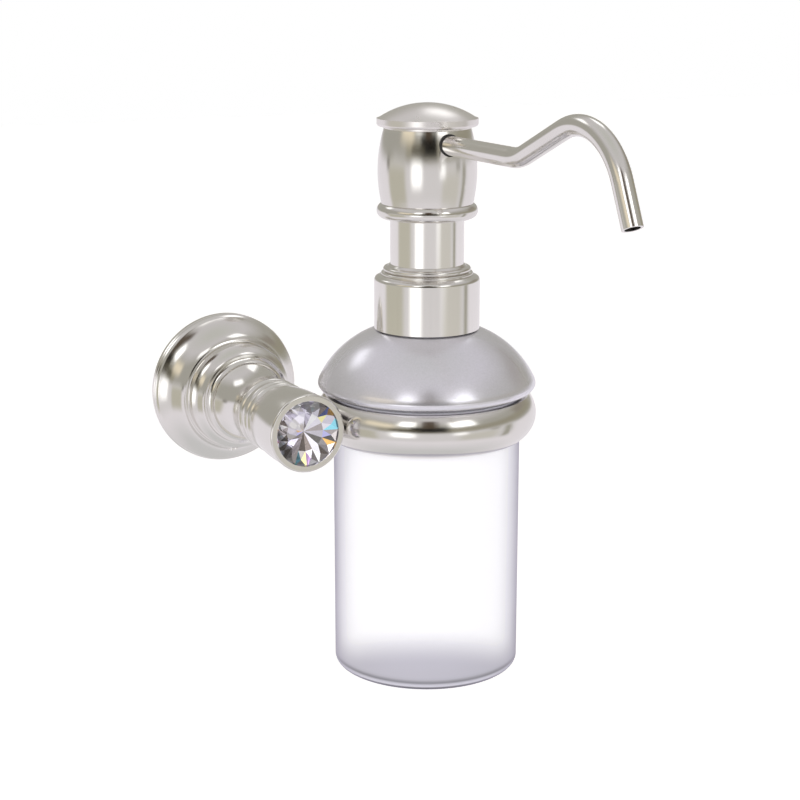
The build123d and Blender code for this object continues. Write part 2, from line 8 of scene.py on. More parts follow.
# %% Load the frame and keep its box
from math import pi, radians
import bpy
import numpy as np
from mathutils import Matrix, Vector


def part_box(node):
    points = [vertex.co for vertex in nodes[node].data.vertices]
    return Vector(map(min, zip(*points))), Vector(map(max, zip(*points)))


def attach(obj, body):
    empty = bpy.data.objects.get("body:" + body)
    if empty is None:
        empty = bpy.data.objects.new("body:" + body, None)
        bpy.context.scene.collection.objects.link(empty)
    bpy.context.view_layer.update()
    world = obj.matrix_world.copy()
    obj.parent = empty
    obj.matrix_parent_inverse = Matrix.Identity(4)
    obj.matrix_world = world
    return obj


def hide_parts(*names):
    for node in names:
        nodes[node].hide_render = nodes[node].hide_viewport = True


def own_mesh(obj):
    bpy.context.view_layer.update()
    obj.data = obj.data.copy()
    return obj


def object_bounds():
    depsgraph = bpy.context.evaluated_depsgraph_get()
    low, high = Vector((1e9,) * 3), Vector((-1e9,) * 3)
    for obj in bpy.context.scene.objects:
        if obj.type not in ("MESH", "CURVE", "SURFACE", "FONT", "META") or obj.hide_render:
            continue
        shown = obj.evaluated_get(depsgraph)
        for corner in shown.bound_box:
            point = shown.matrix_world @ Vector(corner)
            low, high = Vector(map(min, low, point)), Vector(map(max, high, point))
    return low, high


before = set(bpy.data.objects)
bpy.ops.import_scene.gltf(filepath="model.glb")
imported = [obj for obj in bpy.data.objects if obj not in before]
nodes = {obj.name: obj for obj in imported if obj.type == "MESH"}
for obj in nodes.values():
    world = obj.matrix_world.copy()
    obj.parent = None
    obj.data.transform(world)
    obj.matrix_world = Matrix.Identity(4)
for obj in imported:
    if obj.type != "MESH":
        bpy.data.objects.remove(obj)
cad_low, cad_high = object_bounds()
MM = 0.001
print("CAD box in mm:", [round(c / MM, 1) for c in (*cad_low, *cad_high)])

# %% [markdown]
# ## The bottle's axis and the crystal's place
# Nearly everything here was turned on a lathe, round one of two lines: the post's line runs along Y through
# the origin, and the bottle's line stands upright beside it. Both can be read from the boxes of the CAD
# nodes, so no place has to be typed in twice.

# %% Read the two turning axes from the frame
bottle_low, bottle_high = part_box("bottle")
crystal_low, crystal_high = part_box("crystal")
ring_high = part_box("support_ring")[1]
bottle_x = (bottle_low.x + bottle_high.x) / 2
bottle_y = (bottle_low.y + bottle_high.y) / 2
print("bottle axis at", round(bottle_x / MM, 2), round(bottle_y / MM, 2))

# %% [markdown]
# ## Camera
# The dispenser is seen from its left front and a little above, with a long lens so that the turned rims
# stay nearly true ellipses.

# %% Camera
LOOK_DOWN, LOOK_RIGHT = 13.71, 26.62
camera_data = bpy.data.cameras.new("camera")
camera_data.sensor_width = 36.0
camera_data.lens = 80.91
camera_data.clip_start = 0.05
camera = bpy.data.objects.new("camera", camera_data)
camera.location = (-0.2257, -0.5928, 0.1487)
camera.rotation_euler = (radians(90 - LOOK_DOWN), 0.0, radians(-LOOK_RIGHT))
bpy.context.scene.collection.objects.link(camera)
bpy.context.scene.camera = camera
bpy.context.scene.view_settings.view_transform = "Standard"
print("camera lens", camera_data.lens, "mm")

# %% [markdown]
# ## Small helpers for node trees
# A material is a tree of nodes. One helper adds a node and sets its plain values, and another joins two
# sockets. The next three feed an input with a socket or a plain value, do one step of arithmetic, and mix
# two colours, so that each recipe below reads as a list of what it mixes.


# %% Node helpers
def add(tree, kind, **values):
    """Add one node to a tree; keywords name its properties or, failing that, its inputs."""
    node = tree.nodes.new(kind)
    for name, value in values.items():
        if hasattr(node, name):
            setattr(node, name, value)
        else:
            node.inputs[name.replace("_", " ")].default_value = value
    return node


def join(tree, source, target):
    """Link an output socket to an input socket."""
    tree.links.new(source, target)


def feed(tree, value, target):
    """Link a socket to an input, or set the input to a plain value."""
    if isinstance(value, bpy.types.NodeSocket):
        join(tree, value, target)
    else:
        target.default_value = value


def arithmetic(tree, operation, *values):
    """One Math node on sockets or plain numbers; gives its output."""
    node = add(tree, "ShaderNodeMath", operation=operation)
    for socket, value in zip(node.inputs, values):
        feed(tree, value, socket)
    return node.outputs[0]


def blend(tree, factor, first, second, **settings):
    """Mix of two colours, each a socket or plain red, green and blue; gives its output."""
    node = add(tree, "ShaderNodeMix", data_type="RGBA", **settings)
    feed(tree, factor, node.inputs["Factor"])
    for name, colour in (("A", first), ("B", second)):
        feed(tree, (*colour, 1) if isinstance(colour, tuple) else colour, node.inputs[name])
    return node.outputs["Result"]


def new_material(name, **settings):
    """A material with a bare Principled shader; keywords set the shader's own sockets."""
    material = bpy.data.materials.new(name)
    material.use_nodes = True
    tree = material.node_tree
    shader = tree.nodes["Principled BSDF"]
    for socket, value in settings.items():
        shader.inputs[socket.replace("_", " ")].default_value = value
    place = add(tree, "ShaderNodeTexCoord")
    return material, tree, shader, place.outputs["Object"]


def sockets(group, inputs, outputs):
    """Give a node group its sockets: (name, kind, value) for inputs and (name, kind) for outputs."""
    for name, kind, value in inputs:
        socket = group.interface.new_socket(name, in_out="INPUT", socket_type="NodeSocket" + kind)
        if value is not None:
            socket.default_value = value
    for name, kind in outputs:
        group.interface.new_socket(name, in_out="OUTPUT", socket_type="NodeSocket" + kind)
    return add(group, "NodeGroupInput"), add(group, "NodeGroupOutput")


print("node helpers ready")

# %% [markdown]
# ## The room that the metal mirrors
# Polished nickel shows nothing of its own but its tint: what the eye reads as metal is the room it mirrors.
# So the room is built with care, as cards on the sky: each card is a patch with soft edges, placed by its
# azimuth (0 is the -Y side, 90 is the +X side) and its elevation. The room is a pale one with bright
# windows in front, a white table below, a warm wall to the left and one dark doorway behind the viewer,
# which gives the metal its dark streaks.


# %% Node group: one soft card on the sky
def card_group():
    """Mask of a patch of sky: 1 inside a half width and half height in degrees, fading over its softness."""
    group = bpy.data.node_groups.new("sky_card", "ShaderNodeTree")
    source, sink = sockets(group, (
        ("Azimuth", "Float", 0.0), ("Elevation", "Float", 0.0), ("Centre", "Float", 0.0),
        ("Half Width", "Float", 10.0), ("Height", "Float", 0.0), ("Half Height", "Float", 10.0),
        ("Softness", "Float", 3.0)), (("Mask", "Float"),))
    away = arithmetic(group, "SUBTRACT", source.outputs["Azimuth"], source.outputs["Centre"])
    turn = arithmetic(group, "WRAP", away, 180.0, -180.0)
    rise = arithmetic(group, "SUBTRACT", source.outputs["Elevation"], source.outputs["Height"])
    masks = []
    for offset, half in ((turn, "Half Width"), (rise, "Half Height")):
        beyond = arithmetic(group, "SUBTRACT", arithmetic(group, "ABSOLUTE", offset), source.outputs[half])
        share = arithmetic(group, "DIVIDE", beyond, source.outputs["Softness"])
        fade = add(group, "ShaderNodeMapRange", interpolation_type="SMOOTHSTEP", From_Min=0.5, From_Max=-0.5)
        join(group, share, fade.inputs["Value"])
        masks.append(fade.outputs[0])
    join(group, arithmetic(group, "MULTIPLY", *masks), sink.inputs["Mask"])
    return group


sky_card = card_group()
print("card group sockets:", len(sky_card.interface.items_tree))

# %% [markdown]
# ## Cards of the room
# The sky's two angles come from the direction of the ray: elevation is the arcsine of Z, and azimuth the
# two-argument arctangent of X and -Y. A ramp over elevation paints the base: lilac white below, warm grey
# above. The cards are then laid over it one by one. The camera itself sees plain white.

# %% World
world = bpy.data.worlds.new("room")
world.use_nodes = True
bpy.context.scene.world = world
tree = world.node_tree
tree.nodes.clear()
direction = add(tree, "ShaderNodeTexCoord").outputs["Generated"]
split = add(tree, "ShaderNodeSeparateXYZ")
join(tree, direction, split.inputs[0])
elevation = arithmetic(tree, "DEGREES", arithmetic(tree, "ARCSINE", split.outputs["Z"]))
front = arithmetic(tree, "MULTIPLY", split.outputs["Y"], -1.0)
azimuth = arithmetic(tree, "DEGREES", arithmetic(tree, "ARCTAN2", split.outputs["X"], front))

height = add(tree, "ShaderNodeMapRange", From_Min=-90.0, From_Max=90.0)
join(tree, elevation, height.inputs["Value"])
base = add(tree, "ShaderNodeValToRGB")
join(tree, height.outputs[0], base.inputs[0])
low_grey, lilac, warm_grey = (0.66, 0.66, 0.67, 1), (0.86, 0.83, 0.87, 1), (0.42, 0.41, 0.37, 1)
ceiling, zenith = (0.64, 0.62, 0.63, 1), (0.58, 0.58, 0.55, 1)
base.color_ramp.elements[0].position = 0.10
base.color_ramp.elements[0].color = low_grey
base.color_ramp.elements[1].position = 0.95
base.color_ramp.elements[1].color = zenith
for position, colour in (
        (0.30, lilac), (0.485, lilac), (0.515, warm_grey), (0.66, warm_grey), (0.78, ceiling)):
    base.color_ramp.elements.new(position).color = colour
room = base.outputs[0]

CARDS = (
    # name, azimuth, half width, elevation, half height, softness, colour
    ("lower_front", -20, 95, -13, 16, 16, (0.74, 0.72, 0.73)),
    ("beige_left", -104, 24, -14, 14, 12, (0.55, 0.53, 0.45)),
    ("beige_right", 30, 22, -16, 12, 14, (0.64, 0.62, 0.57)),
    ("dark_line", 66, 5, -14, 14, 8, (0.36, 0.35, 0.29)),
    ("horizon_shade", 20, 100, 12, 7, 9, (0.34, 0.32, 0.25)),
    ("side_shade", 105, 18, 22, 6, 8, (0.31, 0.28, 0.24)),
    ("cream_wall", -80, 18, 24, 7, 14, (0.95, 0.85, 0.66)),
    ("left_window", -50, 9, 36, 9, 8, (2.1, 2.1, 2.1)),
    ("right_window", 14, 14, 33, 10, 9, (2.1, 2.1, 2.1)),
    ("doorway", -24, 20, 16, 9, 9, (0.008, 0.007, 0.005)),
    ("doorway_tail", -50, 16, 12, 4, 8, (0.09, 0.08, 0.055)),
    ("brown_column", -24, 9, 36, 14, 8, (0.08, 0.055, 0.035)),
    ("white_table", -52, 12, -6, 9, 12, (1.7, 1.7, 1.7)),
    ("small_white", 8, 7, -3, 5, 8, (1.4, 1.4, 1.4)),
    ("grey_left", -130, 5, -1, 3, 6, (0.26, 0.25, 0.22)),
    ("grey_right", 48, 6, -1, 3, 6, (0.40, 0.39, 0.36)),
    ("back_window_left", -158, 12, 38, 5, 8, (1.6, 1.6, 1.6)),
    ("back_window_right", 142, 12, 47, 8, 8, (1.6, 1.6, 1.6)),
)
for name, centre, half_width, rise, half_height, softness, colour in CARDS:
    card = add(tree, "ShaderNodeGroup", node_tree=sky_card, label=name)
    join(tree, azimuth, card.inputs["Azimuth"])
    join(tree, elevation, card.inputs["Elevation"])
    for socket, value in (("Centre", centre), ("Half Width", half_width), ("Height", rise),
                          ("Half Height", half_height), ("Softness", softness)):
        card.inputs[socket].default_value = value
    room = blend(tree, card.outputs["Mask"], room, colour)

rays = add(tree, "ShaderNodeLightPath")
seen = blend(tree, rays.outputs["Is Camera Ray"], room, (1.0, 1.0, 1.0))
background = add(tree, "ShaderNodeBackground")
join(tree, seen, background.inputs["Color"])
join(tree, background.outputs[0], add(tree, "ShaderNodeOutputWorld").inputs[0])
print("world nodes:", len(tree.nodes), "cards:", len(CARDS))

# %% [markdown]
# ## Soft light
# The sky lights the dispenser from all round. One large, weak area light from the upper left adds the
# gentle direction that a window gives, without a hard shadow.

# %% Soft light from the window side
light_data = bpy.data.lights.new("soft_window", "AREA")
light_data.shape = "RECTANGLE"
light_data.size, light_data.size_y = 0.9, 0.9
light_data.energy = 4.0
light = bpy.data.objects.new("soft_window", light_data)
light.location = (-1.0, -1.1, 1.1)
light.rotation_euler = light.location.to_track_quat("Z", "Y").to_euler()
light.visible_glossy = False
bpy.context.scene.collection.objects.link(light)
print("light power", light_data.energy, "W")

# %% [markdown]
# ## Floor
# A plain pale floor well below the dispenser, which hangs on a wall and touches nothing. It stays out of
# the metal, which already mirrors the sky's lower half.

# %% Floor
FLOOR_DROP, FLOOR_REACH = 0.35, 6.0
floor_z = cad_low.z - FLOOR_DROP
floor_mesh = bpy.data.meshes.new("floor")
floor_mesh.from_pydata(
    [(x * FLOOR_REACH, y * FLOOR_REACH, floor_z) for x, y in ((-1, -1), (1, -1), (1, 1), (-1, 1))],
    [], [(0, 1, 2, 3)])
floor = bpy.data.objects.new("floor", floor_mesh)
floor.visible_glossy = False
floor.visible_transmission = False
bpy.context.scene.collection.objects.link(floor)
paint, tree, shader, place = new_material("pale_floor", Roughness=0.9)
mottle = add(tree, "ShaderNodeTexNoise", Scale=3.0, Detail=2.0)
join(tree, place, mottle.inputs["Vector"])
pale = blend(tree, mottle.outputs["Fac"], (0.88, 0.88, 0.88), (0.92, 0.92, 0.92))
join(tree, pale, shader.inputs["Base Color"])
shader.inputs["Emission Color"].default_value = (1, 1, 1, 1)
shader.inputs["Emission Strength"].default_value = 0.5
floor_mesh.materials.append(paint)
print("floor at", round(floor_mesh.vertices[0].co.z, 3))

# %% [markdown]
# ## Shared surface effects
# Real plate is never perfect: buffing leaves a very fine grain, and handling leaves patches that are a
# touch duller. Most finishes use both, so the grain and haze are one node group with its own values. A
# second group brightens or darkens the sharp edges: partly where plate is rubbed and plastic is trimmed,
# partly a painted edge highlight, since every edge colour given below is lighter than its base.


# %% Node group: fine grain and handling haze
def surface_group():
    """Grain height, a haze mask and the roughness that follows the haze, from one position."""
    group = bpy.data.node_groups.new("grain_and_haze", "ShaderNodeTree")
    source, sink = sockets(group, (
        ("Position", "Vector", None), ("Grain Scale", "Float", 2500.0), ("Haze Scale", "Float", 60.0),
        ("Roughness Low", "Float", 0.1), ("Roughness High", "Float", 0.15)),
        (("Grain", "Float"), ("Haze", "Float"), ("Roughness", "Float")))
    grain = add(group, "ShaderNodeTexNoise", Detail=3.0, Roughness=0.6)
    join(group, source.outputs["Position"], grain.inputs["Vector"])
    join(group, source.outputs["Grain Scale"], grain.inputs["Scale"])
    haze = add(group, "ShaderNodeTexNoise", Detail=4.0, Roughness=0.55)
    join(group, source.outputs["Position"], haze.inputs["Vector"])
    join(group, source.outputs["Haze Scale"], haze.inputs["Scale"])
    spread = add(group, "ShaderNodeMapRange", From_Min=0.35, From_Max=0.7)
    join(group, haze.outputs["Fac"], spread.inputs["Value"])
    join(group, source.outputs["Roughness Low"], spread.inputs["To Min"])
    join(group, source.outputs["Roughness High"], spread.inputs["To Max"])
    join(group, grain.outputs["Fac"], sink.inputs["Grain"])
    join(group, haze.outputs["Fac"], sink.inputs["Haze"])
    join(group, spread.outputs[0], sink.inputs["Roughness"])
    return group


surface = surface_group()
print("group outputs:", [s.name for s in surface.interface.items_tree if s.in_out == "OUTPUT"])


# %% Node group: sharp edges
def edge_group():
    """Mix an edge colour into a base colour where the surface turns sharply outwards; a lighter edge colour
    is partly wear, partly a painted edge highlight.
    """
    group = bpy.data.node_groups.new("worn_and_highlit_edges", "ShaderNodeTree")
    source, sink = sockets(group, (
        ("Base", "Color", None), ("Edge", "Color", None), ("Amount", "Float", 0.5)), (("Color", "Color"),))
    shape = add(group, "ShaderNodeNewGeometry")
    sharp = add(group, "ShaderNodeMapRange", From_Min=0.52, From_Max=0.62)
    join(group, shape.outputs["Pointiness"], sharp.inputs["Value"])
    amount = arithmetic(group, "MULTIPLY", sharp.outputs[0], source.outputs["Amount"])
    mixed = blend(group, amount, source.outputs["Base"], source.outputs["Edge"])
    join(group, mixed, sink.inputs["Color"])
    return group


edges = edge_group()
print("edge group ready")


# %% Grain in a material
def lay_grain(tree, place, shader, grain_scale, haze_scale, roughness):
    """Put the grain and haze group in a material and let it set the roughness, low to high."""
    grain = add(tree, "ShaderNodeGroup", node_tree=surface)
    for socket, value in (("Grain Scale", grain_scale), ("Haze Scale", haze_scale),
                          ("Roughness Low", roughness[0]), ("Roughness High", roughness[1])):
        grain.inputs[socket].default_value = value
    join(tree, place, grain.inputs["Position"])
    join(tree, grain.outputs["Roughness"], shader.inputs["Roughness"])
    return grain


def raise_grain(tree, grain, shader, strength, distance):
    """Let the grain's height tilt the surface a little, through a Bump node."""
    relief = add(tree, "ShaderNodeBump", Strength=strength, Distance=distance)
    join(tree, grain.outputs["Grain"], relief.inputs["Height"])
    join(tree, relief.outputs["Normal"], shader.inputs["Normal"])


print("grain helpers ready")


# %% Finish recipe
def finish(name, colour, edge_colour, roughness, grain_scale=2500.0, haze_scale=60.0,
           bump=0.05, bump_distance=0.00002, edge_amount=0.5, **settings):
    """A finish with grain, haze and lighter sharp edges, partly wear and partly a painted highlight: colour
    and roughness vary over the surface, and the grain's height goes to a Bump node."""
    material, tree, shader, place = new_material(name, **settings)
    grain = lay_grain(tree, place, shader, grain_scale, haze_scale, roughness)
    tint = blend(tree, grain.outputs["Haze"], *colour)
    # Sharp edges take the lighter edge colour: partly wear, partly a painted edge highlight.
    worn_and_highlit = add(tree, "ShaderNodeGroup", node_tree=edges)
    worn_and_highlit.inputs["Edge"].default_value = (*edge_colour, 1)
    worn_and_highlit.inputs["Amount"].default_value = edge_amount
    join(tree, tint, worn_and_highlit.inputs["Base"])
    join(tree, worn_and_highlit.outputs["Color"], shader.inputs["Base Color"])
    raise_grain(tree, grain, shader, bump, bump_distance)
    return material


# %% [markdown]
# ## Nickel, steel, plastic and rubber
# Polished nickel is a touch yellow beside chromium and nearly a mirror; the cap has a satin version, whose
# roughness spreads the room into one soft grey. Zinc plate on hidden screws is bluish and duller, black
# oxide darker still, and drawn spring wire shows fine lines. Plastics and rubbers are not metals: they
# differ by colour, by how far light travels inside, and by the size of their grain.

# %% Plain finishes
finishes = {
    "polished_nickel": finish(
        "polished_nickel", ((0.83, 0.81, 0.785), (0.80, 0.78, 0.75)), (0.92, 0.90, 0.87),
        (0.13, 0.17), Metallic=1.0),
    "satin_nickel": finish(
        "satin_nickel", ((0.90, 0.87, 0.85), (0.86, 0.835, 0.815)), (0.95, 0.93, 0.91),
        (0.26, 0.31), bump=0.10, edge_amount=0.2, Metallic=1.0),
    "zinc_steel": finish(
        "zinc_steel", ((0.56, 0.58, 0.61), (0.48, 0.50, 0.53)), (0.72, 0.74, 0.76),
        (0.28, 0.45), haze_scale=220.0, bump=0.3, Metallic=1.0),
    "black_steel": finish(
        "black_steel", ((0.030, 0.031, 0.034), (0.045, 0.045, 0.048)), (0.22, 0.22, 0.22),
        (0.35, 0.50), haze_scale=400.0, bump=0.3, Metallic=0.7),
    "spring_steel": finish(
        "spring_steel", ((0.55, 0.55, 0.56), (0.47, 0.47, 0.49)), (0.70, 0.70, 0.70),
        (0.18, 0.30), grain_scale=5000.0, haze_scale=300.0, bump=0.2, Metallic=1.0),
    "white_plastic": finish(
        "white_plastic", ((0.80, 0.80, 0.78), (0.77, 0.77, 0.745)), (0.86, 0.86, 0.85),
        (0.32, 0.42), grain_scale=1800.0, haze_scale=90.0, bump=0.2, Subsurface_Weight=0.15,
        Subsurface_Scale=0.001),
    "natural_plastic": finish(
        "natural_plastic", ((0.72, 0.735, 0.74), (0.66, 0.68, 0.69)), (0.85, 0.86, 0.87),
        (0.25, 0.36), grain_scale=1500.0, haze_scale=80.0, bump=0.15, Subsurface_Weight=0.4,
        Subsurface_Scale=0.002),
    "white_rubber": finish(
        "white_rubber", ((0.62, 0.62, 0.60), (0.57, 0.57, 0.55)), (0.70, 0.70, 0.68),
        (0.55, 0.70), grain_scale=1200.0, haze_scale=150.0, bump=0.35),
    "black_rubber": finish(
        "black_rubber", ((0.012, 0.012, 0.013), (0.02, 0.02, 0.02)), (0.05, 0.05, 0.05),
        (0.45, 0.60), grain_scale=1500.0, haze_scale=300.0, bump=0.35),
}
print("finishes:", ", ".join(finishes))

# %% Dress the CAD nodes
DRESS = {
    "polished_nickel": ("flange", "post", "bezel", "support_ring", "collar", "sleeve", "head_shell", "spout"),
    "satin_nickel": ("cap",),
    "zinc_steel": ("mounting_bracket", "post_stud", "ring_screw"),
    "black_steel": ("flange_set_screw",),
    "spring_steel": ("inlet_ball", "outlet_ball"),
    "white_plastic": ("guide_bush", "closure", "stem", "actuator_core"),
    "natural_plastic": ("pump_housing", "dip_tube"),
    "white_rubber": ("neck_gasket", "piston_seal"),
    "black_rubber": ("spout_grommet",),
}
for slot_name, names in DRESS.items():
    for node_name in names:
        nodes[node_name].material_slots[0].material = finishes[slot_name]
print("dressed", sum(len(names) for names in DRESS.values()), "nodes")


# %% [markdown]
# ## Building a mesh from arrays
# The finished pieces are computed with arrays. One helper turns arrays of points and faces into an object
# at the origin and prints what it made. Each face may have its own material, and smooth shading is chosen
# piece by piece, since a cut crystal is flat and a lathe piece is round.


# %% Mesh helper
def mesh_object(name, points, faces, materials, smooth=False, face_material=None):
    """Object with a mesh from an (n, 3) array of points and a list of faces, at the origin."""
    mesh = bpy.data.meshes.new(name)
    mesh.from_pydata(np.asarray(points, float).tolist(), [], [np.asarray(face).tolist() for face in faces])
    for material in materials:
        mesh.materials.append(material)
    mesh.polygons.foreach_set("use_smooth", np.full(len(mesh.polygons), smooth))
    if face_material is not None:
        mesh.polygons.foreach_set("material_index", np.asarray(face_material, dtype=np.int32))
    mesh.update()
    built = bpy.data.objects.new(name, mesh)
    bpy.context.scene.collection.objects.link(built)
    print(name, "points", len(mesh.vertices), "faces", len(mesh.polygons))
    return built


# %% [markdown]
# ## Frosted glass
# The bottle is acid etched: its surface scatters light, so nothing behind it is sharp, and the wall is
# bright where it is seen square on and darker towards its edges, where the light has more glass to cross.
# A full simulation of etched glass is noisy, so the finish is a milky surface instead, with its light and
# shade painted into the colour: pale at the middle, a painted shade greyer towards the edges by a Layer
# Weight, and a little transmission that lets the pump show as a faint shade. The milky colour also glows
# faintly, a painted stand-in for light passing through. Height also matters: the thick floor seen through
# the wall is painted as a grey disc, and the shoulder is a satin silver. Both are placed by the Z of Object
# coordinates, and so are painted dark and bright lines at the heel.

# %% Heights that the glass finish changes at
FLOOR_THICK = 5.6
body_low = bottle_low.z
shoulder_low = ring_high.z
floor_top = body_low + FLOOR_THICK * MM
# Top of the painted grey floor disc on the wall: 14.5 mm over the floor square on, 3 mm under it at the
# edges.
LANDING_SQUARE, LANDING_EDGE = 14.5 * MM, -3 * MM
print("glass heights in mm:", [round(z / MM, 1) for z in (body_low, floor_top, shoulder_low)])


# %% Glass finish
def glass_body():
    """Milky etched glass, with painted light and shade. A look through the wall falls on the thick floor
    below a certain height, and there the wall is painted grey: 14.5 mm over the floor where the wall is met
    squarely, sinking to 3 mm under it at the bottle's edges."""
    material, tree, shader, place = new_material(
        "frosted_glass", Metallic=0.0, IOR=1.45, Transmission_Weight=0.12)
    shader.inputs["Coat Weight"].default_value = 0.15
    shader.inputs["Coat Roughness"].default_value = 0.35
    # Painted light: the milky colour below also feeds Emission Color, a faint glow standing in for light that
    # passes through from behind.
    shader.inputs["Emission Strength"].default_value = 0.20
    grain = lay_grain(tree, place, shader, 3200.0, 35.0, (0.42, 0.52))
    parts = add(tree, "ShaderNodeSeparateXYZ")
    join(tree, place, parts.inputs[0])
    facing = add(tree, "ShaderNodeLayerWeight", Blend=0.5)
    # Painted floor view: below this height, lower towards the edges, the wall is painted grey as the thick
    # floor seen through it.
    painted_disc_top = add(tree, "ShaderNodeMapRange", From_Min=0.0, From_Max=1.0,
                  To_Min=floor_top + LANDING_SQUARE, To_Max=floor_top + LANDING_EDGE)
    join(tree, facing.outputs["Facing"], painted_disc_top.inputs["Value"])
    above = arithmetic(tree, "SUBTRACT", parts.outputs["Z"], painted_disc_top.outputs[0])
    painted_floor_disc = add(tree, "ShaderNodeMapRange", interpolation_type="SMOOTHSTEP",
               From_Min=5 * MM, From_Max=-9 * MM, To_Max=0.9)
    join(tree, above, painted_floor_disc.inputs["Value"])
    wall = blend(tree, painted_floor_disc.outputs[0], (0.95, 0.95, 0.99), (0.47, 0.46, 0.54))
    level = add(tree, "ShaderNodeMapRange", From_Min=body_low, From_Max=body_low + 10 * MM)
    join(tree, parts.outputs["Z"], level.inputs["Value"])
    # Painted shade and highlight: dark and bright lines by height near the heel; ramp values over one are
    # painted highlight.
    painted_heel_lines = add(tree, "ShaderNodeValToRGB")
    join(tree, level.outputs[0], painted_heel_lines.inputs[0])
    steps = painted_heel_lines.color_ramp
    steps.elements[0].position = 0.0
    steps.elements[0].color = (0.14, 0.135, 0.16, 1)
    steps.elements[1].position = 0.5
    steps.elements[1].color = (1, 1, 1, 1)
    for position, value in ((0.12, 0.18), (0.18, 1.2), (0.24, 1.1), (0.31, 0.45), (0.42, 0.92)):
        steps.elements.new(position).color = (value, value, value, 1)
    with_painted_heel_lines = blend(tree, 1.0, wall, painted_heel_lines.outputs[0], blend_type="MULTIPLY")
    # Painted shade: the colour turns grey towards the edges, where the wall is met at a slant.
    rim = add(tree, "ShaderNodeMapRange", interpolation_type="SMOOTHSTEP",
              From_Min=0.35, From_Max=0.98, To_Max=0.95)
    join(tree, facing.outputs["Facing"], rim.inputs["Value"])
    shade = blend(tree, rim.outputs[0], with_painted_heel_lines, (0.27, 0.25, 0.35))
    join(tree, shade, shader.inputs["Base Color"])
    join(tree, shade, shader.inputs["Emission Color"])
    raise_grain(tree, grain, shader, 0.2, 0.00003)
    return material


def glass_shoulder():
    """Silvery satin of the domed shoulder, with a visible fine grain."""
    material, tree, shader, place = new_material("satin_shoulder", Metallic=0.7)
    shader.inputs["Coat Weight"].default_value = 0.2
    shader.inputs["Coat Roughness"].default_value = 0.25
    grain = lay_grain(tree, place, shader, 1900.0, 45.0, (0.21, 0.25))
    tone = blend(tree, grain.outputs["Grain"], (0.72, 0.71, 0.77), (0.93, 0.92, 1.0))
    join(tree, tone, shader.inputs["Base Color"])
    raise_grain(tree, grain, shader, 0.3, 0.00003)
    return material


frosted = glass_body()
shoulder = glass_shoulder()
print("glass finishes ready")


# %% [markdown]
# ## The glass bottle, turned from its profile
# The bottle is a lathe piece: one closed profile, from the middle of the base up the outside, over the lip
# and back down the inside, is swung round the axis. It keeps the CAD's sizes, and rounds the heel, the
# shoulder's edge and the lip more finely. The shoulder's faces take the silver finish, the rest the milky
# one.


# %% Profile of the bottle
def arc(centre, radius, start, stop, count):
    """Points of a circular arc: centre + radius (cos t, sin t), t from start to stop in degrees."""
    turn = np.radians(np.linspace(start, stop, count))
    return np.stack((centre[0] + radius * np.cos(turn), centre[1] + radius * np.sin(turn)), axis=1)


def bulge(start, stop, sag, count):
    """Circular arc between two points whose middle stands a sagitta to the right of the chord."""
    a, b = np.array(start, float), np.array(stop, float)
    chord = b - a
    length = np.hypot(*chord)
    right = np.array((chord[1], -chord[0])) / length
    radius = (length ** 2 / 4 + sag ** 2) / (2 * abs(sag))
    centre = (a + b) / 2 - right * np.sign(sag) * (radius - abs(sag))
    turn_a = np.arctan2(*(a - centre)[::-1])
    turn_b = np.arctan2(*(b - centre)[::-1])
    turn_b = turn_a + (turn_b - turn_a + pi) % (2 * pi) - pi
    turn = np.linspace(turn_a, turn_b, count)
    return centre + radius * np.stack((np.cos(turn), np.sin(turn)), axis=1)


BODY, WALL, HEEL = 31.75, 2.8, 2.6
NECK, BORE, LIP = 13.6, 10.8, 0.4
NECK_FOOT = 28.6
base_z = body_low / MM
step_z = shoulder_low / MM + 0.25
neck_z = bottle_high.z / MM
profile = np.concatenate((
    np.stack((np.linspace(0, BODY - HEEL, 12), np.full(12, base_z)), axis=1),
    arc((BODY - HEEL, base_z + HEEL), HEEL, -85, 0, 14),
    np.stack((np.full(40, BODY), np.linspace(base_z + HEEL + 1, step_z - 0.3, 40)), axis=1),
    arc((BODY + 0.3, step_z - 0.3), 0.3, 180, 95, 4),
    np.array(((32.6, step_z), (34.0, step_z + 0.75), (35.0, step_z + 1.3))),
    arc((34.9, step_z + 3.4), 2.05, -62, 22, 14),
    bulge((36.6, step_z + 4.9), (17.5, 28.5), 2.5, 40),
    np.array(((16.5, NECK_FOOT), (13.9, NECK_FOOT), (NECK, 28.9))),
    np.stack((np.full(6, NECK), np.linspace(30, neck_z - LIP, 6)), axis=1),
    np.array(((13.3, neck_z), (11.1, neck_z), (BORE, neck_z - LIP))),
    np.stack((np.full(6, BORE), np.linspace(neck_z - 1.5, 25.8, 6)), axis=1),
    bulge((17.3, 25.1), (33.05, step_z + 4.6), -2.25, 20),
    np.stack((np.full(20, BODY - WALL), np.linspace(step_z + 0.3, base_z + 8.8, 20)), axis=1),
    arc((BODY - WALL - 3, base_z + 8.6), 3.0, 0, -88, 8),
    np.stack((np.linspace(25.5, 0, 10), np.full(10, base_z + FLOOR_THICK)), axis=1),
))
steps = np.hypot(*np.diff(profile, axis=0).T)
print("profile points", len(profile), "shortest step mm", round(float(steps.min()), 3))


